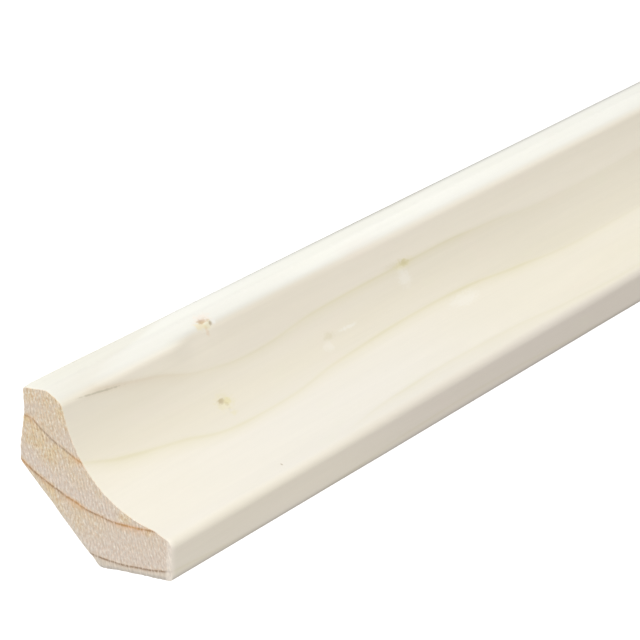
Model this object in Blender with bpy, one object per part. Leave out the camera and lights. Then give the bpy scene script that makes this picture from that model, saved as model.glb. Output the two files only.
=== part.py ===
"""A length of softwood cove moulding: a hollow quarter-round front between two square noses,
two flat legs at right angles behind, and a chamfer that cuts off the hidden back corner.

The section is described by two distances. "Out" is measured from the wall that the tall leg
lies against, "up" is measured from the underside of the other leg. The length runs along X,
out is -Y and up is +Z. The origin is at the middle of the flat wall face."""

import math

import bmesh
import bpy
import numpy as np

# Sizes in metres.
LENGTH = 0.270
HEIGHT = 0.028
PROJECTION = 0.028
COVE_RADIUS = 0.0227
TOP_NOSE_WIDTH = 0.0072
FRONT_NOSE_HEIGHT = 0.0072
BACK_CHAMFER_HEIGHT = 0.0156
BACK_CHAMFER_WIDTH = 0.0149

# The noses aren't square: each falls a little towards the front.
TOP_NOSE_FLAT = 0.0042
TOP_NOSE_FALL = 0.0019
FRONT_NOSE_RUN = 0.0036
FRONT_NOSE_FALL = 0.0011

# Radii of the eased corners.
TOP_NOSE_ROUND = 0.0020
TOP_CREASE_ROUND = 0.0016
FRONT_CREASE_ROUND = 0.0060
FRONT_NOSE_ROUND = 0.0018
CHAMFER_ROUND = 0.0013
ARRIS_ROUND = 0.0004

# The largest turn between two neighbouring points on the cove and on an eased corner.
COVE_STEP = math.radians(2.0)
CORNER_STEP = math.radians(9.0)


def unit(vector):
    return vector / np.linalg.norm(vector)


def arc(centre, start, end, step):
    """Points from start to end the short way round the centre, both included."""
    first = start - centre
    last = end - centre
    radius = np.linalg.norm(first)
    begin = math.atan2(first[1], first[0])
    turn = math.atan2(last[1], last[0]) - begin
    turn = (turn + math.pi) % (2 * math.pi) - math.pi
    count = max(2, math.ceil(abs(turn) / step))
    angles = begin + turn * np.arange(count + 1) / count
    return [centre + radius * np.array([math.cos(a), math.sin(a)]) for a in angles]


def eased_corner(before, corner, after, radius):
    """The arc that replaces a corner between two straight edges."""
    back = unit(before - corner)
    on = unit(after - corner)
    half = 0.5 * math.acos(np.clip(np.dot(back, on), -1.0, 1.0))
    reach = radius / math.tan(half)
    centre = corner + unit(back + on) * radius / math.sin(half)
    return arc(centre, corner + back * reach, corner + on * reach, CORNER_STEP)


def eased_onto_cove(away, corner, cove_centre, radius):
    """The arc that replaces the corner where a straight edge meets the cove. It runs from the
    straight edge to the cove, and its centre lies inside the wood."""
    along = unit(corner - away)
    inward = np.array([along[1], -along[0]])
    if np.dot(inward, cove_centre - corner) > 0:
        inward = -inward
    offset = away + inward * radius - cove_centre
    middle = -np.dot(offset, along)
    root = math.sqrt(middle**2 - np.dot(offset, offset) + (COVE_RADIUS + radius) ** 2)
    reach = min((middle - root, middle + root), key=lambda t: abs(t - np.linalg.norm(corner - away)))
    centre = away + inward * radius + along * reach
    on_line = centre - inward * radius
    on_cove = cove_centre + unit(centre - cove_centre) * COVE_RADIUS
    return arc(centre, on_line, on_cove, CORNER_STEP)


def cove_centre():
    """The centre of the circle through the two points where the noses would meet the cove
    if they were square."""
    top = np.array([TOP_NOSE_WIDTH, HEIGHT])
    front = np.array([PROJECTION, FRONT_NOSE_HEIGHT])
    chord = front - top
    reach = math.sqrt(COVE_RADIUS**2 - 0.25 * np.dot(chord, chord))
    return 0.5 * (top + front) + reach * unit(np.array([-chord[1], chord[0]]))


def section():
    """The outline of the section as (out, up) points, from the foot of the wall face."""
    centre = cove_centre()
    low_back = np.array([0.0, BACK_CHAMFER_HEIGHT])
    high_back = np.array([0.0, HEIGHT])
    top_flat_end = np.array([TOP_NOSE_FLAT, HEIGHT])
    top_up = HEIGHT - TOP_NOSE_FALL
    top_out = centre[0] - math.sqrt(COVE_RADIUS**2 - (top_up - centre[1]) ** 2)
    top_meets_cove = np.array([top_out, top_up])
    front_out = PROJECTION - FRONT_NOSE_RUN
    front_up = centre[1] - math.sqrt(COVE_RADIUS**2 - (front_out - centre[0]) ** 2)
    front_meets_cove = np.array([front_out, front_up])
    front_edge = np.array([PROJECTION, FRONT_NOSE_HEIGHT - FRONT_NOSE_FALL])
    front_foot = np.array([PROJECTION, 0.0])
    back_foot = np.array([BACK_CHAMFER_WIDTH, 0.0])

    top_ease = eased_onto_cove(top_flat_end, top_meets_cove, centre, TOP_CREASE_ROUND)
    front_ease = eased_onto_cove(front_edge, front_meets_cove, centre, FRONT_CREASE_ROUND)[::-1]
    points = eased_corner(back_foot, low_back, high_back, CHAMFER_ROUND)
    points += eased_corner(low_back, high_back, top_flat_end, ARRIS_ROUND)
    points += eased_corner(high_back, top_flat_end, top_meets_cove, TOP_NOSE_ROUND)
    points += top_ease
    points += arc(centre, top_ease[-1], front_ease[0], COVE_STEP)[1:-1]
    points += front_ease
    points += eased_corner(front_meets_cove, front_edge, front_foot, FRONT_NOSE_ROUND)
    points += eased_corner(front_edge, front_foot, back_foot, ARRIS_ROUND)
    points += eased_corner(front_foot, back_foot, low_back, CHAMFER_ROUND)
    return points


def pine():
    material = bpy.data.materials.new("pine")
    material.use_nodes = True
    shader = material.node_tree.nodes["Principled BSDF"]
    shader.inputs["Base Color"].default_value = (0.80, 0.73, 0.61, 1.0)
    shader.inputs["Roughness"].default_value = 0.62
    return material


def moulding():
    """The section as one face at the near end, drawn out along X."""
    middle_up = 0.5 * (BACK_CHAMFER_HEIGHT + HEIGHT)
    mesh = bmesh.new()
    corners = [mesh.verts.new((-0.5 * LENGTH, -out, up - middle_up)) for out, up in section()]
    near_end = mesh.faces.new(corners)
    drawn = bmesh.ops.extrude_face_region(mesh, geom=[near_end], use_keep_orig=True)
    moved = [item for item in drawn["geom"] if isinstance(item, bmesh.types.BMVert)]
    bmesh.ops.translate(mesh, verts=moved, vec=(LENGTH, 0.0, 0.0))
    bmesh.ops.recalc_face_normals(mesh, faces=mesh.faces)
    data = bpy.data.meshes.new("cove_moulding")
    mesh.to_mesh(data)
    mesh.free()
    data.shade_smooth()
    data.set_sharp_from_angle(angle=math.radians(25.0))
    data.materials.append(pine())
    piece = bpy.data.objects.new("cove_moulding", data)
    bpy.context.scene.collection.objects.link(piece)
    return piece


for old in list(bpy.data.objects):
    bpy.data.objects.remove(old, do_unlink=True)
moulding()
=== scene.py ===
"""A length of pale softwood cove moulding in a plain studio.

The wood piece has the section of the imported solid, drawn finer, with the relief that the solid
leaves out: saw marks across the ends, ragged sawn edges and the hollows round the pin knots. In
the section, "out" is measured from the wall face and "up" from the underside, and "along" runs
from the near end. Those three are in millimetres, and the scene itself is in metres."""

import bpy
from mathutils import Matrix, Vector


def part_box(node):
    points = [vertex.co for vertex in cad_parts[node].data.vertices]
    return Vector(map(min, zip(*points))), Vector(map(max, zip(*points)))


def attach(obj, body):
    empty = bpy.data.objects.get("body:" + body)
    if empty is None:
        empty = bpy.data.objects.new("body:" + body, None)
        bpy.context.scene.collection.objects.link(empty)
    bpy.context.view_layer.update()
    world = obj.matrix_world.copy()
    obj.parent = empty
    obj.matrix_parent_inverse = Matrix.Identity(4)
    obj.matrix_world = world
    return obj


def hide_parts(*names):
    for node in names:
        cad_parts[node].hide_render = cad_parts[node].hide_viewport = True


bl_info = {
    "name": "Cove Moulding",
    "version": (1, 0, 0),
    "blender": (4, 5, 0),
    "location": "3D View > Sidebar > Moulding",
    "description": "Builds a length of softwood cove moulding and a plain studio for it",
    "category": "Add Mesh",
}

import math

import bmesh
import bpy
import numpy as np
from bpy.props import FloatProperty, FloatVectorProperty, IntProperty, PointerProperty
from mathutils import Matrix, Vector, noise

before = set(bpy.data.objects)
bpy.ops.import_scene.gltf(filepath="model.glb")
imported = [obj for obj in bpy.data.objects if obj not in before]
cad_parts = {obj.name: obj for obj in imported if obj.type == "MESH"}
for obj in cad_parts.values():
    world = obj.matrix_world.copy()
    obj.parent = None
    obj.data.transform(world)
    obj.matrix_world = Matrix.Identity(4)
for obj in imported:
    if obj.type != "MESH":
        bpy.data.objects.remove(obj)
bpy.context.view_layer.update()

NODE = "cove_moulding"
LOW, HIGH = (np.array(corner, float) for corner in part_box(NODE))

# The growth rings curve about the tree's pith, which lies outside the section and wanders along
# the length. Each pair is (along, out) or (along, up) of the pith, and each span takes in all of
# its row.
PITH_OUT = (
    (0, 22.0), (30, 20.1), (50, 17.4), (70, 15.6), (100, 16.0), (150, 16.9), (200, 15.3), (270, 16.6),
)
PITH_OUT_SPAN = (14.0, 24.0)
PITH_UP = (
    (0, 42.0), (30, 40.5), (55, 39.5), (90, 40.6), (130, 41.1), (165, 40.1), (195, 39.3), (270, 40.4),
)
PITH_UP_SPAN = (38.0, 43.0)
# How far from the pith the first ring is that the section cuts, and the step to the next ones.
FIRST_RING = 20.9
RING_STEP = 6.7
# Round these places the rings bow towards the pith, or away from it where the amount is below 0:
# (along, out, up), how far it reaches in each direction, amount.
RING_BULGES = (
    ((0.0, 8.5, 14.5), (11.0, 11.0, 11.0), 0.55),
    ((0.0, -0.6, 24.0), (9.0, 3.2, 3.2), -1.25),
    ((130.0, 8.9, 21.0), (50.0, 7.0, 7.0), -0.65),
)

# How strong these are from one ring out to the next: (share of the way, strength). They are the
# ring's soft line on the planed faces, its fine line on the sawn ends, and there also the resin
# beside it and the warm band that follows it.
SOFT_LINE = (
    (0.0, 0.9), (0.015, 1.0), (0.05, 0.55), (0.10, 0.28), (0.21, 0.0), (0.94, 0.0), (0.98, 0.3), (1.0, 0.9),
)
FINE_LINE = ((0.0, 1.0), (0.022, 0.8), (0.045, 0.12), (0.08, 0.0), (0.975, 0.0), (1.0, 1.0))
RESIN_LINE = ((0.0, 0.7), (0.05, 0.45), (0.20, 0.0), (0.93, 0.0), (1.0, 0.7))
WARM_BAND = ((0.0, 0.8), (0.06, 1.0), (0.45, 0.70), (0.75, 0.1), (0.90, 0.0), (1.0, 0.8))

# How strongly each ring shows on the planed faces, from the first ring outwards: (along, strength).
RING_SHOWS = (
    (
        (0, 0.0), (6, 0.1), (16, 0.24), (34, 0.28), (48, 0.14), (62, 0.16), (80, 0.19), (118, 0.25),
        (127, 0.27), (136, 0.22), (158, 0.22), (178, 0.09), (270, 0.08),
    ),
    (
        (0, 0.10), (14, 0.30), (44, 0.32), (62, 0.20), (92, 0.20), (118, 0.36), (155, 0.38),
        (182, 0.16), (270, 0.16),
    ),
    ((0, 0.0), (64, 0.0), (84, 0.15), (120, 0.17), (165, 0.11), (270, 0.08)),
    ((0, 0.12), (270, 0.12)),
)

# How much of its own tint the wood takes on along the length inside the first ring, low in the cove and
# between the first two rings, and how much painted shade darkens the front face away from the near end:
# (along, amount).
INNER_SHADE = ((0, 0.03), (36, 0.06), (48, 0.21), (105, 0.21), (150, 0.10), (270, 0.09))
LOW_SHADE = ((0, 0.17), (20, 0.21), (56, 0.28), (100, 0.28), (160, 0.18), (270, 0.16))
BETWEEN_SHADE = ((0, 0.16), (16, 0.20), (60, 0.16), (105, 0.20), (180, 0.29), (270, 0.27))
FRONT_SHADE = ((0, 0.0), (56, 0.02), (76, 0.12), (105, 0.28), (270, 0.32))

# Pin knots and the marks round them, with painted highlights where the gleams are: name, (along, out, up),
# how far they reach each way from there, how far they lean in (out, up) over a millimetre along, colour,
# strength.
BROWN = (0.50, 0.32, 0.18)
SEDGE = (0.52, 0.42, 0.24)
SHAKE = (0.34, 0.31, 0.20)
UMBER = (0.36, 0.27, 0.16)
TAN = (0.68, 0.46, 0.26)
STRAW = (0.76, 0.70, 0.40)
OLIVE = (0.52, 0.46, 0.22)
# Painted highlights: the white of the gleams by the knots and in the cove.
GLEAM_WHITE = (0.93, 0.93, 0.90)
CREAM = (0.85, 0.77, 0.54)
PINK = (0.90, 0.74, 0.62)
ASH = (0.62, 0.58, 0.52)
MARKS = (
    ("nose_knot_glow", (52.8, 5.2, 27.3), (3.4, 1.4, 1.4), (0, 0), PINK, 0.34),
    ("nose_knot_cream", (51.5, 6.0, 26.9), (2.6, 1.0, 1.0), (0, 0), CREAM, 0.78),
    ("nose_knot_stain", (53.2, 6.3, 26.6), (1.7, 1.0, 1.0), (0, 0), STRAW, 0.40),
    ("nose_knot_heart", (52.4, 5.5, 27.2), (1.9, 0.65, 0.7), (0, 0), BROWN, 0.64),
    ("nose_knot_eye", (54.5, 6.3, 26.6), (0.55, 0.55, 0.6), (0, 0), UMBER, 0.62),
    ("nose_knot_gleam", (55.6, 6.4, 26.6), (0.6, 0.6, 0.6), (0, 0), GLEAM_WHITE, 0.55),
    ("nose_knot_run", (52.6, 7.0, 25.8), (0.7, 1.2, 1.5), (0, 0), TAN, 0.28),
    ("cove_knot_stain", (47.8, 12.6, 15.1), (3.5, 1.9, 1.9), (0, 0), STRAW, 0.32),
    ("cove_knot_heart", (47.3, 12.3, 15.4), (1.7, 0.65, 0.65), (0, 0), SEDGE, 0.68),
    ("cove_knot_straw", (48.9, 12.5, 15.1), (1.3, 0.9, 0.9), (0, 0), STRAW, 0.55),
    ("cove_knot_eye", (48.3, 12.9, 14.7), (0.7, 0.5, 0.5), (0, 0), UMBER, 0.18),
    ("cove_knot_grey", (48.0, 13.6, 14.0), (0.6, 0.5, 0.5), (0, 0), ASH, 0.24),
    ("cove_knot_tail", (48.6, 14.2, 13.4), (1.4, 0.6, 0.6), (0, 0), STRAW, 0.28),
    ("middle_knot_heart", (126.9, 8.9, 21.0), (2.0, 0.8, 0.8), (0, 0), OLIVE, 0.50),
    ("middle_knot_stain", (126.5, 8.9, 21.0), (4.2, 1.2, 1.2), (0, 0), STRAW, 0.30),
    ("middle_knot_tail", (122.5, 8.7, 21.5), (4.5, 0.6, 0.6), (0, 0), OLIVE, 0.12),
    ("faint_knot", (90.1, 11.6, 16.3), (2.6, 0.8, 0.8), (0, 0), OLIVE, 0.20),
    ("faint_knot_gleam", (98.0, 11.7, 16.15), (4.4, 0.5, 0.42), (0, -0.01), GLEAM_WHITE, 0.34),
    ("faint_knot_gleam_patch", (88.2, 12.6, 15.0), (2.2, 1.2, 1.2), (0, 0), GLEAM_WHITE, 0.20),
    ("middle_knot_gleam", (125.0, 9.9, 18.8), (2.8, 2.2, 2.2), (0, 0), GLEAM_WHITE, 0.26),
    ("lower_gleam", (140.0, 15.8, 12.1), (6.5, 1.6, 1.6), (0, 0), GLEAM_WHITE, 0.22),
    ("pin_prick", (44.2, 25.6, 7.2), (0.3, 0.3, 0.3), (0, 0), UMBER, 0.60),
    ("shake", (12.3, 7.5, 25.2), (7.5, 1.2, 0.20), (0.021, -0.092), SHAKE, 0.38),
    ("shake_glow", (16.0, 7.5, 24.9), (10.0, 1.2, 0.60), (0.021, -0.092), SEDGE, 0.08),
    ("fine_shake", (30.0, 13.9, 13.6), (7.5, 0.16, 0.16), (0.112, -0.112), OLIVE, 0.22),
)

# The saw marks on the ends: the way across them, and the way along them.
ACROSS_SAW = (0.0, 0.96, 0.27)
DOWN_SAW = (0.0, -0.27, 0.96)

# Warm patches on the near sawn end: (out, up), half width, strength.
END_PATCHES = (
    ((1.4, 26.9), 2.2, 0.65),
    ((4.0, 27.4), 1.4, 0.45),
    ((7.1, 24.9), 1.8, 0.85),
    ((4.6, 22.6), 5.0, 0.44),
    ((19.4, 9.1), 1.8, 0.70),
    ((10.6, 17.0), 1.2, 0.60),
    ((14.6, 12.4), 1.3, 0.45),
    ((23.8, 7.4), 1.2, 0.60),
    ((0.7, 14.9), 0.8, 0.60),
)

# Where resin makes the rings glow orange on the near sawn end: (out, up), half width, strength.
RING_GLOWS = (
    ((0.8, 15.0), 2.4, 0.75),
    ((4.5, 12.6), 4.0, 0.40),
    ((10.2, 9.9), 3.6, 0.85),
    ((15.0, 8.4), 3.0, 0.45),
    ((20.5, 7.9), 5.2, 1.0),
    ((10.6, 17.3), 2.2, 0.85),
    ((1.6, 22.8), 2.2, 0.50),
)

# Bites out of the near sawn edge: (out, up), half width, depth, below 0 where the edge stands proud.
EDGE_BITES = (
    ((0.0, 24.2), 4.0, 0.42),
    ((0.0, 18.0), 2.0, -0.08),
    ((6.0, 9.6), 1.6, 0.10),
    ((13.6, 1.2), 1.4, 0.15),
)

# How far the planed faces stand out from the plain section: (along, amount).
SWELL = ((0, 0.12), (100, 0.09), (200, 0.02), (270, 0.0))

# How much further the front face's foot stands out: (out, up), half width, amount.
FOOT_SWELL = ((28.0, 0.0), 3.5, 0.14)

# Painted shade along the top's back edge and the front face's foot: (along, amount), and how far it
# reaches.
HIGH_EDGE_SHADE = ((0, 0.0), (30, 0.04), (80, 0.32), (120, 0.60), (270, 0.68))
HIGH_EDGE_SHADE_REACH = 0.75
FOOT_EDGE_SHADE = ((0, 0.50), (40, 0.60), (270, 0.62))
FOOT_EDGE_SHADE_REACH = 0.50

# Hollows in the wood: (along, out, up), half length, half width, depth, how uneven the rim is.
HOLLOWS = (
    ((52.7, 5.5, 27.2), 1.6, 0.7, 0.18, 0.30),
    ((54.5, 6.3, 26.6), 0.5, 0.6, 0.14, 0.20),
    ((52.3, 6.2, 26.8), 3.2, 1.1, 0.08, 0.30),
    ((47.5, 12.6, 15.1), 1.5, 1.0, 0.12, 0.35),
    ((126.3, 8.9, 21.0), 2.0, 0.9, 0.08, 0.35),
)

# Past the nose knot the cutter took the lower edge of the top nose away along a slanting plane:
# (along, share of the full cut), a place on the plane, and the way it faces in degrees above level.
NOSE_CUT = (
    (0, 0.35), (12, 0.35), (24, 0.26), (39.0, 0.28), (41.5, 0.60), (44.5, 1.05), (47, 1.2), (52, 1.15),
    (57, 1.0), (100, 0.95), (140, 0.65), (190, 0.50), (270, 0.50),
)
NOSE_CUT_PLACE = (5.95, 26.95)
NOSE_CUT_FACES = 25.0
# Between which heights the cut fades into the cove, how far from the wall face it starts, how
# softly, the film that it leaves, and the least share of the plane's own way that a face has to
# turn for the cut to go by it.
NOSE_CUT_FADES = (19.5, 23.5)
NOSE_CUT_STARTS = 3.0
NOSE_CUT_SOFTNESS = 0.22
NOSE_CUT_FILM = 0.02
NOSE_CUT_TURN = 0.6

# Unevenness of the planed faces: height, lumps in a millimetre along, out and up, seed.
UNEVENNESS = (
    (0.045, (0.035, 0.11, 0.11), 1.0),
    (0.007, (0.12, 1.1, 1.1), 2.0),
)
# Unevenness of the hollows' rims: lumps in a millimetre, seed.
RIM_LUMPS = 0.9
RIM_SEED = 3.0

# The sawn edges: seeds of the two ends, weight and lumps in a millimetre of the coarse and the fine
# raggedness, how fast it falls in from the wall face and the underside, the least that is left,
# and how far along the faces it fades.
NEAR_SEED = 11.0
FAR_SEED = 17.0
RAGGED_COARSE = (0.9, 0.45)
RAGGED_FINE = (0.7, 2.1)
RAGGED_FALL = 0.5
RAGGED_LEAST = 0.25
RAGGED_FADE = 1.1

# The sawn ends: how far in from the edge their grid starts, how far from the end the shoulder
# beside it lies, and how much end grain the shoulder shows.
GRID_INSET = 0.06
SHOULDER_DEPTH = 0.12
SHOULDER_GRAIN = 0.35

# The mesh along the length: how far in the first ring of points is, the step at the ends and at
# the hollows, and how much a step grows with each millimetre away from them.
END_INSET = 0.35
END_STEP = 0.3
END_STEP_GROWTH = 0.22
HOLLOW_STEP = 0.42
HOLLOW_STEP_GROWTH = 0.4

# The outline's points: degrees between them on the eased corners and on the cove, how much length
# in metres a radian of turning counts for, and the gap below which two are one.
CORNER_STEP = 2.0
COVE_STEP = 0.25
TURN_WEIGHT = 0.0012
SAME_POINT = 1e-8

# Rims of warm and of greyer wood on the sawn ends: how far in from the cove and from the chamfer.
COVE_RIM = 1.9
CHAMFER_RIM = 1.1

# The camera, as fitted to the outline: degrees round, up and tilted, where it aims and how far off.
CAMERA_AZIMUTH = -64.476
CAMERA_ELEVATION = 16.0
CAMERA_ROLL = -2.207
CAMERA_AIM = (-0.05346, -0.0140, 0.0)
CAMERA_DISTANCE = 0.87242
SENSOR_WIDTH = 36.0
FAR_CLIP = 200.0

# The lights: place, where each aims, side of its square, colour.
KEY_LIGHT = ((-0.45, -0.35, 1.75), (0.0, 0.0, 0.0), 1.3, (1.0, 1.0, 0.99))
FILL_LIGHT = ((-1.2, -0.55, 0.45), (-0.10, 0.0, 0.0), 0.9, (1.0, 0.975, 0.95))

# The studio: half the floor's side, how strong the plain backdrop is, and between which heights of
# a direction the light turns from the air's to the bounce from below.
FLOOR_HALF = 30.0
BACKDROP = 1.05
BOUNCE_FADES = (0.05, -0.25)


def size(name, description, default, **more):
    return FloatProperty(name=name, description=description, default=default, unit="LENGTH", **more)


def colour(name, description, default):
    return FloatVectorProperty(
        name=name, description=description, default=default, subtype="COLOR", size=3, min=0.0, max=1.0
    )


def strength(name, description, default, unit="NONE"):
    return FloatProperty(name=name, description=description, default=default, unit=unit, min=0.0)


class MouldingSizes(bpy.types.PropertyGroup):
    length: size("Length", "Length of the moulding", float(HIGH[0] - LOW[0]), min=0.02)
    projection: size("Projection", "How far the moulding stands out from the wall", float(HIGH[1] - LOW[1]))
    height: size("Height", "Height of the moulding", float(HIGH[2] - LOW[2]))
    cove_radius: size("Cove radius", "Radius of the hollow", 0.0227)
    top_nose_width: size("Top nose width", "Width of the top nose if it were square", 0.0072)
    front_nose_height: size("Front nose height", "Height of the front nose if it were square", 0.0072)
    chamfer_height: size("Chamfer height", "Where the back chamfer meets the wall face", 0.0156)
    chamfer_width: size("Chamfer width", "Where the back chamfer meets the underside", 0.0149)
    top_nose_flat: size("Top nose flat", "Width of the flat on the top nose", 0.0042)
    top_nose_fall: size("Top nose fall", "How far the top nose falls to the cove", 0.0019)
    front_nose_run: size("Front nose run", "Width of the slope on the front nose", 0.0036)
    front_nose_fall: size("Front nose fall", "How far the front nose falls from the cove", 0.0011)
    top_nose_round: size("Top nose round", "Radius where the top flat turns down", 0.0020)
    top_crease_round: size("Top crease round", "Radius where the top nose meets the cove", 0.0016)
    front_crease_round: size("Front crease round", "Radius where the cove meets the front nose", 0.0060)
    front_nose_round: size("Front nose round", "Radius at the front edge of the front nose", 0.0018)
    chamfer_round: size("Chamfer round", "Radius at the two edges of the chamfer", 0.0013)
    arris_round: size("Arris round", "Radius at the square back and front edges", 0.0002)
    saw_pitch: size("Saw pitch", "Distance between the saw marks on the ends", 0.00055)
    saw_depth: size("Saw depth", "Depth of the saw marks", 0.00005)
    rough_edge: size("Rough edge", "How far the sawn edges wander", 0.00014)
    along_step: size("Step along", "Longest step of the mesh along the moulding", 0.0017)
    front_steps: IntProperty(
        name="Front steps", description="Mesh steps across the cove", default=128, min=16
    )
    through_steps: IntProperty(
        name="Steps through", description="Mesh steps through the wood", default=26, min=4
    )


class WoodLook(bpy.types.PropertyGroup):
    planed: colour("Planed wood", "Colour of the planed faces", (0.85, 0.806, 0.698))
    # Painted light: the top nose is coloured paler and whiter for the light that falls on it from above.
    nose: colour("Top nose", "Colour of the top nose, which the light has bleached", (0.885, 0.886, 0.826))
    # Painted shade on the top nose's slope near the sawn end, where it turns from the light.
    nose_slope_shade: colour(
        "Nose slope", "Colour of the top nose's slope near the sawn end", (0.836, 0.835, 0.785)
    )
    # Painted shade on the front face away from the near end.
    low_front_shade: colour("Low front", "Colour of the front face past the near end", (0.62, 0.565, 0.54))
    inner_wood: colour("Inner wood", "Colour inside the first ring", (0.62, 0.56, 0.47))
    between_rings: colour("Between rings", "Colour between the first two rings", (0.62, 0.57, 0.43))
    low_cove: colour("Low cove", "Colour low in the cove", (0.65, 0.66, 0.70))
    far_low_cove: colour("Far low cove", "Colour low in the cove at the far end", (0.63, 0.60, 0.46))
    planed_line: colour(
        "Planed grain line", "Colour of the grain lines on the planed faces", (0.60, 0.55, 0.24)
    )
    rosy: colour("Rosy tone", "Colour of the rosier patches on the planed faces", (0.86, 0.73, 0.66))
    greenish: colour(
        "Greenish tone", "Colour of the greener patches on the planed faces", (0.76, 0.79, 0.60)
    )
    near_line: colour(
        "Near grain line", "Colour of the grain lines close to the near end", (0.62, 0.47, 0.30)
    )
    sawn: colour("Sawn wood", "Colour of the sawn ends", (0.80, 0.706, 0.612))
    sawn_warm: colour("Warm band", "Colour of the band beside each ring on the ends", (0.83, 0.68, 0.42))
    fleck: colour("Fleck", "Colour of the flecks in the warm bands", (0.67, 0.46, 0.27))
    # The same colour also paints a highlight along the near end's corner with the front face.
    pale_fleck_and_edge_highlight: colour("Pale fleck", "Colour of the pale flecks on the ends", (0.94, 0.88, 0.78))
    resin: colour("Resin", "Colour of the resin beside the rings on the ends", (0.84, 0.50, 0.25))
    arris_sawn: colour("Sawn bevel", "Colour of the ends beside the chamfer", (0.78, 0.735, 0.65))
    ring: colour("Ring", "Colour of the rings on the ends", (0.35, 0.235, 0.15))
    ring_resin: colour("Resinous ring", "Colour of the rings close to the cove", (0.62, 0.34, 0.13))
    # Painted shade along the square edges and along the sawn ends' foot.
    edge_shade: colour("Arris", "Colour of the handled edges", (0.34, 0.33, 0.315))


class StageLook(bpy.types.PropertyGroup):
    floor_drop: size("Floor drop", "How far the floor lies below the moulding", 0.30)
    floor: colour("Floor", "Colour of the floor", (0.95, 0.95, 0.945))
    floor_glow: strength("Floor glow", "Light from under the floor", 0.55)
    ambient: strength("Ambient", "Strength of the light from all round", 0.59)
    key: strength("Key light", "Power of the light overhead", 25.0, unit="POWER")
    fill: strength("Fill light", "Power of the light at the sawn end", 4.0, unit="POWER")
    air: colour("Air", "Colour of the light from all round", (0.75, 0.735, 0.72))
    bounce: colour("Bounce", "Colour of the light from below", (1.0, 0.945, 0.93))
    bounce_gain: strength("Bounce gain", "How much stronger the light from all round is below", 1.22)
    lens: FloatProperty(name="Lens", description="Focal length", default=279.6, unit="CAMERA", min=1.0)


def unit(vector):
    return vector / np.linalg.norm(vector)


def arc(centre, start, end, step):
    """Points from start to end the short way round the centre, both included."""
    first = start - centre
    last = end - centre
    begin = math.atan2(first[1], first[0])
    turn = (math.atan2(last[1], last[0]) - begin + math.pi) % (2 * math.pi) - math.pi
    count = max(2, math.ceil(abs(turn) / math.radians(step)))
    angles = begin + turn * np.arange(count + 1) / count
    return centre + np.linalg.norm(first) * np.stack([np.cos(angles), np.sin(angles)], -1)


def eased_corner(before, corner, after, radius):
    """The arc that replaces a corner between two straight edges."""
    back = unit(before - corner)
    on = unit(after - corner)
    half = 0.5 * math.acos(np.clip(np.dot(back, on), -1.0, 1.0))
    reach = radius / math.tan(half)
    centre = corner + unit(back + on) * radius / math.sin(half)
    return arc(centre, corner + back * reach, corner + on * reach, CORNER_STEP)


def eased_onto_cove(away, corner, centre, cove_radius, radius):
    """The arc that replaces the corner where a straight edge meets the cove, from edge to cove."""
    along = unit(corner - away)
    inward = np.array([along[1], -along[0]])
    if np.dot(inward, centre - corner) > 0:
        inward = -inward
    offset = away + inward * radius - centre
    middle = -np.dot(offset, along)
    root = math.sqrt(middle**2 - np.dot(offset, offset) + (cove_radius + radius) ** 2)
    wanted = np.linalg.norm(corner - away)
    reach = min((middle - root, middle + root), key=lambda t: abs(t - wanted))
    heart = away + inward * radius + along * reach
    on_cove = centre + unit(heart - centre) * cove_radius
    return arc(heart, heart - inward * radius, on_cove, CORNER_STEP)


def cove_centre(s):
    """The middle of the cove's curve, as (out, up) in metres."""
    top = np.array([s.top_nose_width, s.height])
    front = np.array([s.projection, s.front_nose_height])
    chord = front - top
    reach = math.sqrt(s.cove_radius**2 - 0.25 * np.dot(chord, chord))
    return 0.5 * (top + front) + reach * unit(np.array([-chord[1], chord[0]]))


def section_sides(s):
    """The section's four sides as (out, up) points in metres: the top, the front with the cove,
    the front face and the back. Each starts and ends in the middle of an eased corner."""
    centre = cove_centre(s)
    low_back = np.array([0.0, s.chamfer_height])
    high_back = np.array([0.0, s.height])
    top_edge = np.array([s.top_nose_flat, s.height])
    top_up = s.height - s.top_nose_fall
    top_meet = np.array([centre[0] - math.sqrt(s.cove_radius**2 - (top_up - centre[1]) ** 2), top_up])
    front_out = s.projection - s.front_nose_run
    front_up = centre[1] - math.sqrt(s.cove_radius**2 - (front_out - centre[0]) ** 2)
    front_meet = np.array([front_out, front_up])
    front_edge = np.array([s.projection, s.front_nose_height - s.front_nose_fall])
    front_foot = np.array([s.projection, 0.0])
    back_foot = np.array([s.chamfer_width, 0.0])

    high = eased_corner(low_back, high_back, top_edge, s.arris_round)
    nose = eased_corner(high_back, top_edge, top_meet, s.top_nose_round)
    crease = eased_onto_cove(top_edge, top_meet, centre, s.cove_radius, s.top_crease_round)
    swell = eased_onto_cove(front_edge, front_meet, centre, s.cove_radius, s.front_crease_round)[::-1]
    hollow = arc(centre, crease[-1], swell[0], COVE_STEP)
    edge = eased_corner(front_meet, front_edge, front_foot, s.front_nose_round)
    foot = eased_corner(front_edge, front_foot, back_foot, s.arris_round)
    heel = eased_corner(front_foot, back_foot, low_back, s.chamfer_round)
    heel_top = eased_corner(back_foot, low_back, high_back, s.chamfer_round)

    def halves(corner):
        middle = len(corner) // 2
        return corner[: middle + 1], corner[middle:]

    high_in, high_out = halves(high)
    nose_in, nose_out = halves(nose)
    edge_in, edge_out = halves(edge)
    foot_in, foot_out = halves(foot)
    return (
        np.vstack([high_out, nose_in]),
        np.vstack([nose_out, crease, hollow[1:-1], swell, edge_in]),
        np.vstack([edge_out, foot_in]),
        np.vstack([foot_out, heel, heel_top, high_in]),
    )


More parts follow.
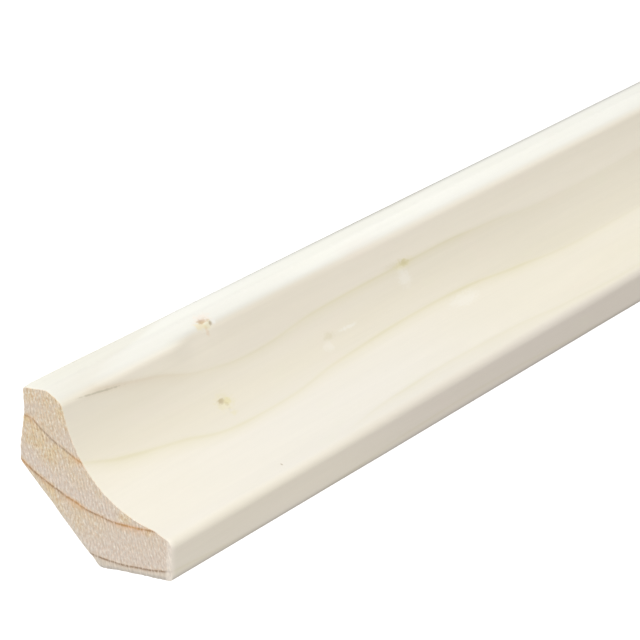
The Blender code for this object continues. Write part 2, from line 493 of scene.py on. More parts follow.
def spread(points, count):
    """count equal steps along a fine line, shorter where it turns."""
    keep = np.r_[True, np.linalg.norm(np.diff(points, axis=0), axis=1) > SAME_POINT]
    points = points[keep]
    steps = np.diff(points, axis=0)
    headings = np.unwrap(np.arctan2(steps[:, 1], steps[:, 0]))
    turns = np.abs(np.diff(headings, prepend=headings[0]))
    measure = np.r_[0.0, np.cumsum(np.hypot(steps[:, 0], steps[:, 1]) + TURN_WEIGHT * turns)]
    wanted = np.linspace(0.0, measure[-1], count + 1)
    return np.stack([np.interp(wanted, measure, points[:, k]) for k in (0, 1)], -1)


def outline(s, finer=1):
    """The closed outline in metres, clockwise from the top's back corner, and its outward
    normals. It has more points where finer is above 1."""
    top, front, foot, back = section_sides(s)
    across = s.front_steps * finer
    through = s.through_steps * finer
    sides = ((top, through), (front, across), (foot, through), (back, across))
    points = np.vstack([spread(side, count)[:-1] for side, count in sides])
    tangents = np.roll(points, -1, axis=0) - np.roll(points, 1, axis=0)
    normals = np.stack([-tangents[:, 1], tangents[:, 0]], -1)
    return points, normals / np.linalg.norm(normals, axis=1, keepdims=True)


def patch(ring, across, through):
    """Fills the ring with a grid of points that follows its four sides."""
    top = ring[: through + 1][::-1]
    front = ring[through : through + across + 1]
    foot = ring[through + across : 2 * through + across + 1]
    back = np.vstack([ring[2 * through + across :], ring[:1]])[::-1]
    a = np.linspace(0.0, 1.0, across + 1)[:, None, None]
    b = np.linspace(0.0, 1.0, through + 1)[None, :, None]
    ruled = (1 - b) * front[:, None] + b * back[:, None] + (1 - a) * top[None] + a * foot[None]
    corners = (1 - a) * ((1 - b) * top[0] + b * top[-1]) + a * ((1 - b) * foot[0] + b * foot[-1])
    return ruled - corners


def noise_at(points, seed):
    """Smooth noise between about -1 and 1 at each point."""
    shift = Vector((seed, 3.1 * seed, 7.7 * seed))
    flat = points.reshape(-1, 3)
    values = np.fromiter((noise.noise(Vector(p) + shift) for p in flat), float, len(flat))
    return values.reshape(points.shape[:-1])


def read_along(along, pairs):
    """The (along, value) pairs read at each place."""
    return np.interp(along, *zip(*pairs))


def swelling(ring, place, half_width):
    """1 at a place in the section, fading smoothly to 0 round it."""
    return np.exp(-((np.linalg.norm(ring - place, axis=1) / half_width) ** 2))


def stations(s):
    """Distances along the moulding in mm: close together at the ends and the hollows."""
    length = s.length * 1000
    found = []
    place = END_INSET
    while place < length - END_INSET:
        found.append(place)
        step = s.along_step * 1000
        step = min(step, END_STEP + END_STEP_GROWTH * min(place, length - place))
        for (along, _, _), half, _, _, _ in HOLLOWS:
            step = min(step, HOLLOW_STEP + HOLLOW_STEP_GROWTH * max(0.0, abs(place - along) - half))
        place += step
    found.append(length - END_INSET)
    return np.array(found)


def hollow_depth(grid):
    """How deep the hollows at the knots are at each point, in mm."""
    wander = noise_at(grid * RIM_LUMPS, RIM_SEED)
    depth = np.zeros(grid.shape[:-1])
    for (place, out, up), half_length, half_width, deepest, uneven in HOLLOWS:
        across = np.hypot(grid[..., 1] - out, grid[..., 2] - up) / half_width
        reach = np.hypot((grid[..., 0] - place) / half_length, across) + uneven * wander
        depth += deepest * np.clip(1.0 - reach**2, 0.0, 1.0) ** 1.5
    return depth


def nose_cut(along, ring, normals):
    """How deep the cutter went into the top nose at each point, in mm."""
    facing = math.radians(NOSE_CUT_FACES)
    faces = np.array([math.cos(facing), math.sin(facing)])
    proud = (ring - NOSE_CUT_PLACE) @ faces
    proud = 0.5 * (proud + np.sqrt(proud**2 + NOSE_CUT_SOFTNESS**2)) - NOSE_CUT_FILM
    low, high = NOSE_CUT_FADES
    kept = np.clip((ring[:, 1] - low) / (high - low), 0.0, 1.0)
    proud = np.clip(proud, 0.0, None) * kept**2 * (3 - 2 * kept) * (ring[:, 0] > NOSE_CUT_STARTS)
    turned = np.clip(normals @ faces, NOSE_CUT_TURN, 1.0)
    return read_along(along, NOSE_CUT)[:, None] * (proud / turned)[None]


def body_relief(along, ring, normals):
    """How far each point of the long faces stands out from the plain section, in mm."""
    grid = np.empty((len(along), len(ring), 3))
    grid[..., 0] = along[:, None]
    grid[..., 1:] = ring[None]
    foot, half_width, amount = FOOT_SWELL
    relief = read_along(along, SWELL)[:, None] + amount * swelling(ring, foot, half_width)[None]
    for height, lumps, seed in UNEVENNESS:
        relief += height * noise_at(grid * lumps, seed)
    return relief - hollow_depth(grid) - nose_cut(along, ring, normals)


def ragged(ring, seed, amount, bites):
    """How far the sawn edge stands out or in at each point of the ring, in mm: most at the
    underside and the wall face, where the blade leaves the wood."""
    grid = np.zeros((len(ring), 3))
    grid[:, :2] = ring
    burr = np.clip(1.0 - RAGGED_FALL * np.minimum(ring[:, 0], ring[:, 1]), RAGGED_LEAST, 1.0)
    stands = np.zeros(len(ring))
    for step, (weight, lumps) in enumerate((RAGGED_COARSE, RAGGED_FINE)):
        stands += amount * burr * weight * noise_at(grid * lumps, seed + step)
    for place, half_width, depth in bites:
        stands -= depth * swelling(ring, place, half_width)
    return stands


def sawn_depth(s, grid, seed):
    """How deep the saw left each point of an end, in mm: broken ridges, with a fuzz of fibres."""
    flat = np.zeros(grid.shape[:-1] + (3,))
    flat[..., :2] = grid
    wander = 0.5 * noise_at(flat * (0.16, 0.16, 1.0), seed)
    phase = (grid @ ACROSS_SAW[1:] + wander) / (s.saw_pitch * 1000)
    ridges = 0.5 + 0.5 * np.sin(2 * math.pi * phase)
    breaks = 0.55 + 0.6 * noise_at(flat * (0.8, 0.28, 1.0), seed + 2.0)
    fuzz = noise_at(flat * (2.6, 1.6, 1.0), seed + 3.0)
    depth = ridges * np.clip(breaks, 0.0, 1.0) + 0.35 * (fuzz + 1.0)
    return s.saw_depth * 1000 * depth


def sawn_end(s, at, inward, seed, bites):
    """The points of a sawn end in mm: the shoulder round it, and the grid over it. Both follow an
    outline twice as fine as that of the long faces."""
    ring, normals = outline(s, 2)
    ring = 1000 * ring
    relief = body_relief(np.array([at]), ring, normals)[0] + ragged(ring, seed, 1000 * s.rough_edge, bites)
    rim = ring + normals * relief[:, None]
    shoulder = np.column_stack([np.full(len(rim), at + inward * SHOULDER_DEPTH), rim])
    grid = patch(rim - GRID_INSET * normals, 2 * s.front_steps, 2 * s.through_steps)
    cap = np.empty(grid.shape[:2] + (3,))
    cap[..., 0] = at + inward * sawn_depth(s, grid, seed)
    cap[..., 1:] = grid
    return shoulder, cap


def grid_faces(number):
    """The faces between a grid's numbered points."""
    corners = (number[:-1, :-1], number[1:, :-1], number[1:, 1:], number[:-1, 1:])
    return zip(*(corner.ravel() for corner in corners))


def grid_border(number):
    """The numbers round a grid's border, in the order of the ring that it fills."""
    return np.concatenate([number[0, :0:-1], number[:-1, 0], number[-1, :-1], number[:0:-1, -1]])


def wood_mesh(s):
    """The moulding as one closed mesh: long faces from ring to ring, and a finer grid over each
    sawn end. Gives its points in mm, how much end grain each one shows, and its faces."""
    ring, normals = outline(s)
    ring = 1000 * ring
    length = 1000 * s.length
    along = stations(s)
    ends = (
        (0.0, 1.0, 0, NEAR_SEED, EDGE_BITES),
        (length, -1.0, len(along) - 1, FAR_SEED, ()),
    )

    relief = body_relief(along, ring, normals)
    for at, _, _, seed, bites in ends:
        rough = ragged(ring, seed, 1000 * s.rough_edge, bites)
        relief += rough[None] * np.exp(-np.abs(along - at) / RAGGED_FADE)[:, None]
    body = np.empty((len(along), len(ring), 3))
    body[..., 0] = along[:, None]
    body[..., 1:] = ring[None] + normals[None] * relief[..., None]

    points = [body.reshape(-1, 3)]
    end_grain = [np.zeros(len(points[0]))]
    faces = []
    here = np.arange(len(ring))
    following = np.roll(here, -1)
    for row in range(len(along) - 1):
        first = row * len(ring)
        second = first + len(ring)
        faces.extend(zip(first + here, first + following, second + following, second + here))

    start = len(points[0])
    for at, inward, row, seed, bites in ends:
        shoulder, cap = sawn_end(s, at, inward, seed, bites)
        rim = start + np.arange(len(shoulder))
        number = start + len(rim) + np.arange(cap[..., 0].size).reshape(cap.shape[:2])
        border = grid_border(number)
        points += [shoulder, cap.reshape(-1, 3)]
        end_grain += [np.full(len(rim), SHOULDER_GRAIN), np.ones(number.size)]
        faces.extend(grid_faces(number))
        faces.extend(zip(rim, np.roll(rim, -1), np.roll(border, -1), border))
        # Each edge of the long faces meets two of the finer shoulder's.
        edge = row * len(ring)
        faces.extend(zip(edge + here, edge + following, np.roll(rim, -2)[::2], rim[1::2], rim[::2]))
        start += len(rim) + number.size

    return np.vstack(points), np.concatenate(end_grain), faces


def edge_shade_amount(s, points):
    """How much painted shade shows along the two square edges: it fades to 0 within a millimetre of them.
    """
    high = swelling(points[:, 1:], (0.0, 1000 * s.height), HIGH_EDGE_SHADE_REACH)
    foot = swelling(points[:, 1:], (1000 * s.projection, 0.0), FOOT_EDGE_SHADE_REACH)
    high *= read_along(points[:, 0], HIGH_EDGE_SHADE)
    foot *= read_along(points[:, 0], FOOT_EDGE_SHADE)
    return np.maximum(high, foot)


def wood_object(s, material):
    points, end_grain, faces = wood_mesh(s)
    middle_up = 0.5 * (s.chamfer_height + s.height)
    places = np.column_stack([points[:, 0], -points[:, 1], points[:, 2]]) / 1000
    places -= (0.5 * s.length, 0.0, middle_up)
    data = bpy.data.meshes.new("cove_moulding_wood")
    data.from_pydata(places.tolist(), [], [tuple(int(i) for i in face) for face in faces])
    for name, values in (("end_grain", end_grain), ("edge_shade", edge_shade_amount(s, points))):
        data.attributes.new(name, "FLOAT", "POINT").data.foreach_set("value", values.astype(np.float32))
    mesh = bmesh.new()
    mesh.from_mesh(data)
    bmesh.ops.recalc_face_normals(mesh, faces=mesh.faces)
    mesh.to_mesh(data)
    mesh.free()
    data.shade_smooth()
    data.set_sharp_from_angle(angle=math.radians(40.0))
    data.materials.append(material)
    piece = bpy.data.objects.new("cove_moulding_wood", data)
    bpy.context.scene.collection.objects.link(piece)
    return piece


def node(tree, kind, inputs=(), **settings):
    """Adds a node, sets its options, then sets or links its inputs."""
    made = tree.nodes.new(kind)
    for name, value in settings.items():
        setattr(made, name, value)
    for name, value in dict(inputs).items():
        if isinstance(value, bpy.types.NodeSocket):
            tree.links.new(value, made.inputs[name])
        else:
            made.inputs[name].default_value = value
    return made


def math_of(tree, operation, *values):
    """A Math node's result."""
    return node(tree, "ShaderNodeMath", enumerate(values), operation=operation).outputs[0]


def times(tree, first, *others):
    """Numbers multiplied together."""
    for other in others:
        first = math_of(tree, "MULTIPLY", first, other)
    return first


def vector_of(tree, operation, *values):
    """A Vector Math node's vector."""
    return node(tree, "ShaderNodeVectorMath", enumerate(values), operation=operation).outputs["Vector"]


def number_of(tree, operation, *values):
    """A Vector Math node's number."""
    return node(tree, "ShaderNodeVectorMath", enumerate(values), operation=operation).outputs["Value"]


def scaled_by(tree, vector, amount):
    """A vector or a colour times a number."""
    made = node(tree, "ShaderNodeVectorMath", {0: vector, "Scale": amount}, operation="SCALE")
    return made.outputs["Vector"]


def blended(tree, amount, first, second):
    """Two numbers mixed by an amount."""
    return node(tree, "ShaderNodeMix", {0: amount, 2: first, 3: second}, data_type="FLOAT").outputs[0]


def mixed(tree, amount, first, second):
    """Two colours mixed by an amount."""
    inputs = {0: amount}
    for index, tint in ((6, first), (7, second)):
        inputs[index] = tint if isinstance(tint, bpy.types.NodeSocket) else (*tint[:3], 1.0)
    return node(tree, "ShaderNodeMix", inputs, data_type="RGBA").outputs[2]


def remapped(tree, value, low, high, to_low=0.0, to_high=1.0, smooth=True):
    """A number carried from low and high to two others, and held there beyond them."""
    made = node(
        tree,
        "ShaderNodeMapRange",
        {"Value": value, "From Min": low, "From Max": high, "To Min": to_low, "To Max": to_high},
        interpolation_type="SMOOTHSTEP" if smooth else "LINEAR",
    )
    return made.outputs["Result"]


def grain_noise(tree, place, stretch, detail, roughness=0.5):
    """Noise stretched along the grain: stretch is how many lumps there are in a millimetre,
    along, out and up."""
    made = node(
        tree,
        "ShaderNodeTexNoise",
        {
            "Vector": vector_of(tree, "MULTIPLY", place, stretch),
            "Scale": 1.0,
            "Detail": detail,
            "Roughness": roughness,
        },
        noise_dimensions="3D",
    )
    return made.outputs["Fac"]


def curve_over(tree, share, pairs, span=(0.0, 1.0)):
    """A number that follows the (along, value) pairs, where share is 0 to 1 along the length."""
    made = node(tree, "ShaderNodeFloatCurve", {"Value": share})
    curve = made.mapping.curves[0]
    low, high = span
    for index, (place, value) in enumerate(pairs):
        point = (place / pairs[-1][0], (value - low) / (high - low))
        if index < len(curve.points):
            curve.points[index].location = point
        else:
            curve.points.new(*point)
    made.mapping.update()
    return remapped(tree, made.outputs[0], 0.0, 1.0, low, high, smooth=False)


def ramp(tree, value, stops):
    """A number ramp: each stop is (position, value)."""
    made = node(tree, "ShaderNodeValToRGB", {"Fac": value})
    elements = made.color_ramp.elements
    while len(elements) < len(stops):
        elements.new(1.0)
    for element, (position, level) in zip(elements, stops):
        element.position = position
        element.color = (level, level, level, 1.0)
    return made.outputs["Color"]


def mark_group():
    """A node group that is 1 at the heart of a knot or mark and fades to 0 at its edge."""
    tree = bpy.data.node_groups.new("pin_mark", "ShaderNodeTree")
    for name in ("Place", "Centre", "Reach", "Lean"):
        tree.interface.new_socket(name, in_out="INPUT", socket_type="NodeSocketVector")
    tree.interface.new_socket("Amount", in_out="OUTPUT", socket_type="NodeSocketFloat")
    given = tree.nodes.new("NodeGroupInput").outputs
    result = tree.nodes.new("NodeGroupOutput")
    away = vector_of(tree, "SUBTRACT", given["Place"], given["Centre"])
    run = node(tree, "ShaderNodeSeparateXYZ", {0: away}).outputs["X"]
    away = vector_of(tree, "SUBTRACT", away, scaled_by(tree, given["Lean"], run))
    reach = number_of(tree, "LENGTH", vector_of(tree, "DIVIDE", away, given["Reach"]))
    uneven = grain_noise(tree, given["Place"], (0.9, 1.6, 1.6), 2.0)
    uneven = remapped(tree, uneven, 0.25, 0.75, -0.35, 0.35, smooth=False)
    edge = math_of(tree, "ADD", reach, uneven)
    tree.links.new(remapped(tree, edge, 1.15, 0.35), result.inputs["Amount"])
    return tree


def glow_at(tree, place, spots):
    """A number that rises to each spot's strength at its middle on the near end."""
    glow = 0.0
    for (out, up), half_width, amount in spots:
        away = number_of(tree, "DISTANCE", place, (0.0, out, up))
        glow = math_of(tree, "MAXIMUM", glow, remapped(tree, away, 1.3 * half_width, 0.0, 0.0, amount))
    return glow


class Grain:
    """What the pine's colours read at each point: its place in the section's millimetres, where it
    lies among the growth rings, and the noise that several colours share."""

    def __init__(self, tree, s):
        corner = (500 * s.length, 0.0, 500 * (s.chamfer_height + s.height))
        coordinates = node(tree, "ShaderNodeTexCoord").outputs["Object"]
        turned = vector_of(tree, "MULTIPLY", coordinates, (1000.0, -1000.0, 1000.0))
        self.place = vector_of(tree, "ADD", turned, corner)
        parts = node(tree, "ShaderNodeSeparateXYZ", {0: self.place}).outputs
        self.along = parts["X"]
        self.out = parts["Y"]
        self.up = parts["Z"]
        self.share = math_of(tree, "DIVIDE", self.along, 1000 * s.length)
        self.rings = ring_count(tree, self)
        self.phase = math_of(tree, "FRACT", self.rings)
        self.nearest = math_of(tree, "ROUND", self.rings)
        self.soft_line = ramp(tree, self.phase, SOFT_LINE)
        self.streaks = grain_noise(tree, self.place, (0.03, 1.7, 1.7), 3.0)
        self.fibres = grain_noise(tree, self.place, (0.25, 9.0, 9.0), 2.0)
        self.across_saw = number_of(tree, "DOT_PRODUCT", self.place, ACROSS_SAW)
        down_saw = number_of(tree, "DOT_PRODUCT", self.place, DOWN_SAW)
        turned = node(tree, "ShaderNodeCombineXYZ", {0: self.along, 1: self.across_saw, 2: down_saw})
        self.cells = grain_noise(tree, turned.outputs[0], (0.4, 3.2, 1.05), 3.0, 0.6)
        self.flecks = grain_noise(tree, turned.outputs[0], (0.4, 3.1, 1.5), 2.0, 0.7)


def ring_count(tree, grain):
    """How many rings out from the first each point is, by its distance from the wandering pith."""
    from_out = math_of(tree, "SUBTRACT", grain.out, curve_over(tree, grain.share, PITH_OUT, PITH_OUT_SPAN))
    from_up = math_of(tree, "SUBTRACT", grain.up, curve_over(tree, grain.share, PITH_UP, PITH_UP_SPAN))
    squares = [math_of(tree, "POWER", away, 2.0) for away in (from_out, from_up)]
    radius = math_of(tree, "SQRT", math_of(tree, "ADD", *squares))
    wobble = grain_noise(tree, grain.place, (0.02, 0.22, 0.22), 1.0)
    radius = math_of(tree, "ADD", radius, remapped(tree, wobble, 0.0, 1.0, -0.18, 0.18, smooth=False))
    for middle, reach, amount in RING_BULGES:
        away = vector_of(tree, "SUBTRACT", grain.place, middle)
        away = number_of(tree, "LENGTH", vector_of(tree, "DIVIDE", away, reach))
        radius = math_of(tree, "ADD", radius, remapped(tree, away, 0.0, 1.0, amount, 0.0))
    return math_of(tree, "DIVIDE", math_of(tree, "SUBTRACT", radius, FIRST_RING), RING_STEP)


def ring_is(tree, grain, number):
    """1 where that ring, counted from 0, is the nearest one."""
    return math_of(tree, "COMPARE", grain.nearest, float(number), 0.25)


def ring_strength(tree, grain):
    """How strongly the nearest ring shows on the planed faces: hardly at all on the top nose."""
    shows = 0.0
    for number, pairs in enumerate(RING_SHOWS):
        here = times(tree, ring_is(tree, grain, number), curve_over(tree, grain.share, pairs))
        shows = math_of(tree, "ADD", shows, here)
    patches = grain_noise(tree, grain.place, (0.035, 0.05, 0.05), 1.0)
    uneven = remapped(tree, patches, 0.3, 0.7, 0.75, 1.25)
    return times(tree, shows, uneven, remapped(tree, grain.up, 27.0, 25.6, 0.12, 1.0))


def with_marks(tree, grain, wood):
    """The wood's colour with the pin knots, the marks round them and the painted highlights laid over it.
    """
    group = mark_group()
    for name, centre, reach, lean, tint, amount in MARKS:
        inputs = {"Place": grain.place, "Centre": centre, "Reach": reach, "Lean": (0.0, *lean)}
        mark = node(tree, "ShaderNodeGroup", inputs, node_tree=group, label=name)
        wood = mixed(tree, times(tree, mark.outputs[0], amount), wood, tint)
    return wood


def zoned_wood(tree, grain, look, front):
    """The planed faces' ground colour, which changes from zone to zone of the section and slowly along the
    length, with painted light on the top nose and painted shade on its slope and on the front face."""
    # Painted light and shade: the top nose paler where the light from above falls, its slope near the sawn
    # end darker.
    brightened = remapped(tree, grain.up, 25.8, 27.0)
    slope = times(tree, remapped(tree, grain.along, 110.0, 50.0), remapped(tree, grain.out, 2.8, 4.2))
    wood = mixed(tree, brightened, look.planed, mixed(tree, slope, look.nose, look.nose_slope_shade))
    broad = grain_noise(tree, grain.place, (0.012, 0.16, 0.16), 2.0)
    wood = mixed(tree, remapped(tree, broad, 0.3, 0.7, 0.0, 0.06), wood, look.planed_line)

    between = times(tree, remapped(tree, grain.rings, -0.15, 0.10), remapped(tree, grain.rings, 1.06, 0.92))
    between = times(tree, between, curve_over(tree, grain.share, BETWEEN_SHADE))
    wood = mixed(tree, between, wood, look.between_rings)
    inner = times(tree, remapped(tree, grain.rings, 0.06, -0.12), remapped(tree, grain.up, 26.6, 25.4))
    inner = times(tree, inner, curve_over(tree, grain.share, INNER_SHADE))
    wood = mixed(tree, inner, wood, look.inner_wood)

    low = times(tree, remapped(tree, grain.up, 16.0, 8.0), curve_over(tree, grain.share, LOW_SHADE))
    low = times(tree, low, math_of(tree, "SUBTRACT", 1.0, front))
    far = remapped(tree, grain.along, 90.0, 200.0)
    wood = mixed(tree, low, wood, mixed(tree, far, look.low_cove, look.far_low_cove))
    # Painted shade: the front face darker and greyer away from the near end, where the fill light falls
    # off.
    far_front_shade = times(tree, front, curve_over(tree, grain.share, FRONT_SHADE))
    wood = mixed(tree, far_front_shade, wood, look.low_front_shade)

    hue = grain_noise(tree, grain.place, (0.05, 0.14, 0.14), 2.0)
    wood = mixed(tree, remapped(tree, hue, 0.40, 0.25, 0.0, 0.10), wood, look.rosy)
    return mixed(tree, remapped(tree, hue, 0.60, 0.75, 0.0, 0.10), wood, look.greenish)


def planed_wood(tree, grain, look):
    """The planed faces' colour: the ground, the rings' soft lines, the grain, the knots, a painted
    highlight along the near end's front edge, and painted shade along the two square edges."""
    front = remapped(tree, grain.out, 26.6, 27.9)
    wood = zoned_wood(tree, grain, look, front)
    brown = times(tree, remapped(tree, grain.along, 62.0, 22.0), ring_is(tree, grain, 0))
    line_tint = mixed(tree, brown, look.planed_line, look.near_line)
    wood = mixed(tree, times(tree, grain.soft_line, ring_strength(tree, grain)), wood, line_tint)
    shade = times(
        tree,
        remapped(tree, grain.streaks, 0.3, 0.7, 0.990, 1.008, smooth=False),
        remapped(tree, grain.fibres, 0.3, 0.7, 0.994, 1.005, smooth=False),
    )
    wood = with_marks(tree, grain, scaled_by(tree, wood, shade))
    # A painted highlight along the front face beside the near end, where the corner is rounded.
    near_edge_highlight = times(tree, front, remapped(tree, grain.along, 1.8, 0.3, 0.0, 0.60))
    wood = mixed(tree, near_edge_highlight, wood, look.pale_fleck_and_edge_highlight)
    # Painted shade along the two square edges.
    shaded = node(tree, "ShaderNodeAttribute", attribute_name="edge_shade").outputs["Fac"]
    return mixed(tree, shaded, wood, look.edge_shade)


def end_warmth(tree, grain, s):
    """How warm the sawn ends' colour is: in the band past each ring, in patches, and in a rim
    along the cove."""
    lumps = grain_noise(tree, grain.place, (0.1, 0.30, 0.30), 2.0)
    band = times(
        tree,
        ramp(tree, grain.phase, WARM_BAND),
        remapped(tree, lumps, 0.30, 0.65, 0.35, 1.0),
        remapped(tree, grain.out, 5.0, 18.0, 1.0, 0.22),
    )
    section_place = vector_of(tree, "MULTIPLY", grain.place, (0.0, 1.0, 1.0))
    centre = 1000 * cove_centre(s)
    from_centre = number_of(tree, "DISTANCE", section_place, (0.0, *centre))
    radius = 1000 * s.cove_radius
    rim = remapped(tree, from_centre, radius + COVE_RIM, radius, 0.0, 0.22)
    spots = math_of(tree, "MAXIMUM", glow_at(tree, grain.place, END_PATCHES), rim)
    return math_of(tree, "MAXIMUM", band, spots)


def sawn_wood(tree, grain, s, look):
    """The sawn ends' colour. Their cells and saw marks run steeply down them."""
    warmth = end_warmth(tree, grain, s)
    wood = mixed(tree, warmth, look.sawn, look.sawn_warm)
    flecked = times(
        tree, remapped(tree, warmth, 0.1, 0.8, 0.30, 0.75), remapped(tree, grain.flecks, 0.50, 0.64)
    )
    wood = mixed(tree, flecked, wood, look.fleck)
    wood = mixed(tree, remapped(tree, grain.flecks, 0.47, 0.33, 0.0, 0.85), wood, look.pale_fleck_and_edge_highlight)
    chamfer_faces = unit(np.array([s.chamfer_height, s.chamfer_width]))
    chamfer_at = 1000 * chamfer_faces[1] * s.chamfer_height
    from_corner = number_of(tree, "DOT_PRODUCT", grain.place, (0.0, *chamfer_faces))
    rim = remapped(tree, from_corner, chamfer_at + CHAMFER_RIM, chamfer_at, 0.0, 0.55)
    wood = mixed(tree, rim, wood, look.arris_sawn)
    wood = mixed(tree, remapped(tree, grain.rings, 2.98, 3.08, 0.0, 0.65), wood, look.arris_sawn)

    glow = glow_at(tree, grain.place, RING_GLOWS)
    resin = times(tree, ramp(tree, grain.phase, RESIN_LINE), remapped(tree, glow, 0.0, 1.0, 0.12, 0.85))
    wood = mixed(tree, resin, wood, look.resin)
    line = times(
        tree,
        ramp(tree, grain.phase, FINE_LINE),
        remapped(tree, grain.flecks, 0.36, 0.55, 0.40, 0.95),
        remapped(tree, ring_is(tree, grain, 1), 0.0, 1.0, 1.0, 0.72),
    )
    wood = mixed(tree, line, wood, mixed(tree, glow, look.ring, look.ring_resin))
    # Painted shade along the sawn end's foot.
    wood = mixed(tree, remapped(tree, grain.up, 0.6, 0.0, 0.0, 0.40), wood, look.edge_shade)
    # A painted highlight along the end's edge by the front face.
    wood = mixed(tree, remapped(tree, grain.out, 26.9, 27.5, 0.0, 0.80), wood, look.pale_fleck_and_edge_highlight)

    wander = grain_noise(tree, grain.place, (0.1, 0.16, 0.16), 1.0)
    turns = math_of(tree, "ADD", grain.across_saw, wander)
    saw = math_of(tree, "SINE", times(tree, turns, 2 * math.pi / (1000 * s.saw_pitch)))
    breaks = grain_noise(tree, grain.place, (0.1, 0.9, 0.3), 2.0)
    saw = times(tree, saw, remapped(tree, breaks, 0.35, 0.65))
    shade = times(
        tree,
        remapped(tree, grain.cells, 0.25, 0.75, 0.84, 1.14, smooth=False),
        remapped(tree, saw, -1.0, 1.0, 0.94, 1.05, smooth=False),
    )
    return scaled_by(tree, wood, shade)


def pine(s, look):
    """Pale softwood: planed along the length, sawn at the ends, with rings that carry from one
    to the other, and pin knots."""
    material = bpy.data.materials.new("pine")
    material.use_nodes = True
    tree = material.node_tree
    shader = tree.nodes["Principled BSDF"]
    grain = Grain(tree, s)
    end_grain = node(tree, "ShaderNodeAttribute", attribute_name="end_grain").outputs["Fac"]

    tint = mixed(tree, end_grain, planed_wood(tree, grain, look), sawn_wood(tree, grain, s, look))
    planed_rough = remapped(tree, grain.streaks, 0.3, 0.7, 0.50, 0.62, smooth=False)
    sawn_rough = remapped(tree, grain.cells, 0.3, 0.7, 0.82, 0.95, smooth=False)
    rough = blended(tree, end_grain, planed_rough, sawn_rough)

    planed_relief = math_of(
        tree, "ADD", times(tree, grain.streaks, 0.5), times(tree, grain.fibres, 0.25)
    )
    planed_relief = math_of(tree, "SUBTRACT", planed_relief, times(tree, grain.soft_line, 0.3))
    relief = blended(tree, end_grain, planed_relief, times(tree, grain.cells, 2.5))
    bump = node(tree, "ShaderNodeBump", {"Height": relief, "Strength": 0.35, "Distance": 0.00006})

    tree.links.new(tint, shader.inputs["Base Color"])
    tree.links.new(rough, shader.inputs["Roughness"])
    tree.links.new(bump.outputs["Normal"], shader.inputs["Normal"])
    shader.inputs["Specular IOR Level"].default_value = 0.3
    return material


def plain(name, tint, roughness, glow):
    """A plain matt finish with a faint mottle, lit from within."""
    material = bpy.data.materials.new(name)
    material.use_nodes = True
    tree = material.node_tree
    shader = tree.nodes["Principled BSDF"]
    place = node(tree, "ShaderNodeTexCoord").outputs["Object"]
    mottle = node(tree, "ShaderNodeTexNoise", {"Vector": place, "Scale": 4.0, "Detail": 2.0}).outputs["Fac"]
    darker = tuple(0.985 * channel for channel in tint)
    tree.links.new(mixed(tree, mottle, darker, tint), shader.inputs["Base Color"])
    shader.inputs["Roughness"].default_value = roughness
    shader.inputs["Specular IOR Level"].default_value = 0.1
    shader.inputs["Emission Color"].default_value = (1.0, 1.0, 1.0, 1.0)
    shader.inputs["Emission Strength"].default_value = glow
    return material


def studio_floor(look):
    mesh = bmesh.new()
    bmesh.ops.create_grid(mesh, x_segments=8, y_segments=8, size=FLOOR_HALF)
    data = bpy.data.meshes.new("studio_floor")
    mesh.to_mesh(data)
    mesh.free()
    data.materials.append(plain("studio_floor", tuple(look.floor), 0.9, look.floor_glow))
    floor = bpy.data.objects.new("studio_floor", data)
    floor.location = (0.0, 0.0, float(LOW[2]) - look.floor_drop)
    floor.visible_diffuse = False
    floor.visible_glossy = False
    bpy.context.scene.collection.objects.link(floor)
    return floor


def area_light(name, power, place, aim, side, tint):
    data = bpy.data.lights.new(name, "AREA")
    data.shape = "RECTANGLE"
    data.size = side
    data.size_y = side
    data.energy = power
    data.color = tint
    light = bpy.data.objects.new(name, data)
    light.location = place
    light.rotation_euler = (Vector(aim) - Vector(place)).to_track_quat("-Z", "Y").to_euler()
    bpy.context.scene.collection.objects.link(light)


def studio_air(look):
    """Light from all round, warmer and stronger from below, behind a plain white backdrop."""
    world = bpy.data.worlds.new("studio_air")
    world.use_nodes = True
    tree = world.node_tree
    seen = node(tree, "ShaderNodeLightPath").outputs["Is Camera Ray"]
    way = node(tree, "ShaderNodeTexCoord").outputs["Generated"]
    height = node(tree, "ShaderNodeSeparateXYZ", {0: way}).outputs["Z"]
    around = mixed(tree, remapped(tree, height, *BOUNCE_FADES), look.air, look.bounce)
    strength = remapped(tree, height, *BOUNCE_FADES, look.ambient, look.ambient * look.bounce_gain)
    background = tree.nodes["Background"].inputs
    tree.links.new(mixed(tree, seen, around, (1.0, 1.0, 1.0)), background["Color"])
    tree.links.new(blended(tree, seen, strength, BACKDROP), background["Strength"])
    return world


def studio_camera(look):
    azimuth = math.radians(CAMERA_AZIMUTH)
    elevation = math.radians(CAMERA_ELEVATION)
    level = math.cos(elevation)
    outward = Vector((math.sin(azimuth) * level, -math.cos(azimuth) * level, math.sin(elevation)))
    data = bpy.data.cameras.new("camera")
    data.lens = look.lens
    data.sensor_width = SENSOR_WIDTH
    data.clip_end = FAR_CLIP
    camera = bpy.data.objects.new("camera", data)
    tilt = Matrix.Rotation(-math.radians(CAMERA_ROLL), 4, "Z")
    turn = outward.to_track_quat("Z", "Y").to_matrix().to_4x4() @ tilt
    camera.matrix_world = Matrix.Translation(Vector(CAMERA_AIM) + CAMERA_DISTANCE * outward) @ turn
    bpy.context.scene.collection.objects.link(camera)
    return camera


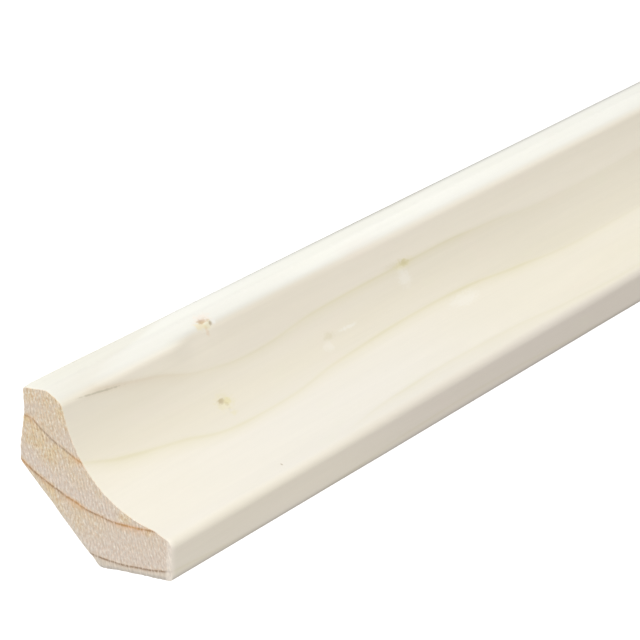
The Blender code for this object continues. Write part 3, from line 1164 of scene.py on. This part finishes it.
class CoveMouldingWood(bpy.types.Operator):
    """Build the length of moulding"""

    bl_idname = "cove_moulding.wood"
    bl_label = "Moulding"

    def execute(self, context):
        scene = context.scene
        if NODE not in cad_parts:
            raise RuntimeError("the packed model has no moulding")
        piece = wood_object(scene.moulding_sizes, pine(scene.moulding_sizes, scene.wood_look))
        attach(piece, "root")
        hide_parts(NODE)
        return {"FINISHED"}


class CoveMouldingStage(bpy.types.Operator):
    """Build the floor, the lights and the camera"""

    bl_idname = "cove_moulding.stage"
    bl_label = "Studio"

    def execute(self, context):
        scene = context.scene
        look = scene.stage_look
        floor = studio_floor(look)
        area_light("key_light", look.key, *KEY_LIGHT)
        area_light("fill_light", look.fill, *FILL_LIGHT)
        scene.world = studio_air(look)
        scene.camera = studio_camera(look)
        scene.view_settings.view_transform = "Standard"
        return {"FINISHED"}


class CoveMouldingPanel(bpy.types.Panel):
    """The moulding's sizes, colours and builders"""

    bl_idname = "VIEW3D_PT_cove_moulding"
    bl_label = "Cove Moulding"
    bl_space_type = "VIEW_3D"
    bl_region_type = "UI"
    bl_category = "Moulding"

    def draw(self, context):
        for group in (context.scene.moulding_sizes, context.scene.wood_look, context.scene.stage_look):
            box = self.layout.box()
            for name in group.__annotations__:
                box.prop(group, name)
        for operator in (CoveMouldingWood, CoveMouldingStage):
            self.layout.operator(operator.bl_idname)


CLASSES = (MouldingSizes, WoodLook, StageLook, CoveMouldingWood, CoveMouldingStage, CoveMouldingPanel)


def register():
    for cls in CLASSES:
        bpy.utils.register_class(cls)
    bpy.types.Scene.moulding_sizes = PointerProperty(type=MouldingSizes)
    bpy.types.Scene.wood_look = PointerProperty(type=WoodLook)
    bpy.types.Scene.stage_look = PointerProperty(type=StageLook)


def unregister():
    del bpy.types.Scene.stage_look
    del bpy.types.Scene.wood_look
    del bpy.types.Scene.moulding_sizes
    for cls in reversed(CLASSES):
        bpy.utils.unregister_class(cls)


def main():
    register()
    bpy.ops.cove_moulding.stage()
    bpy.ops.cove_moulding.wood()


if __name__ == "__main__":
    main()
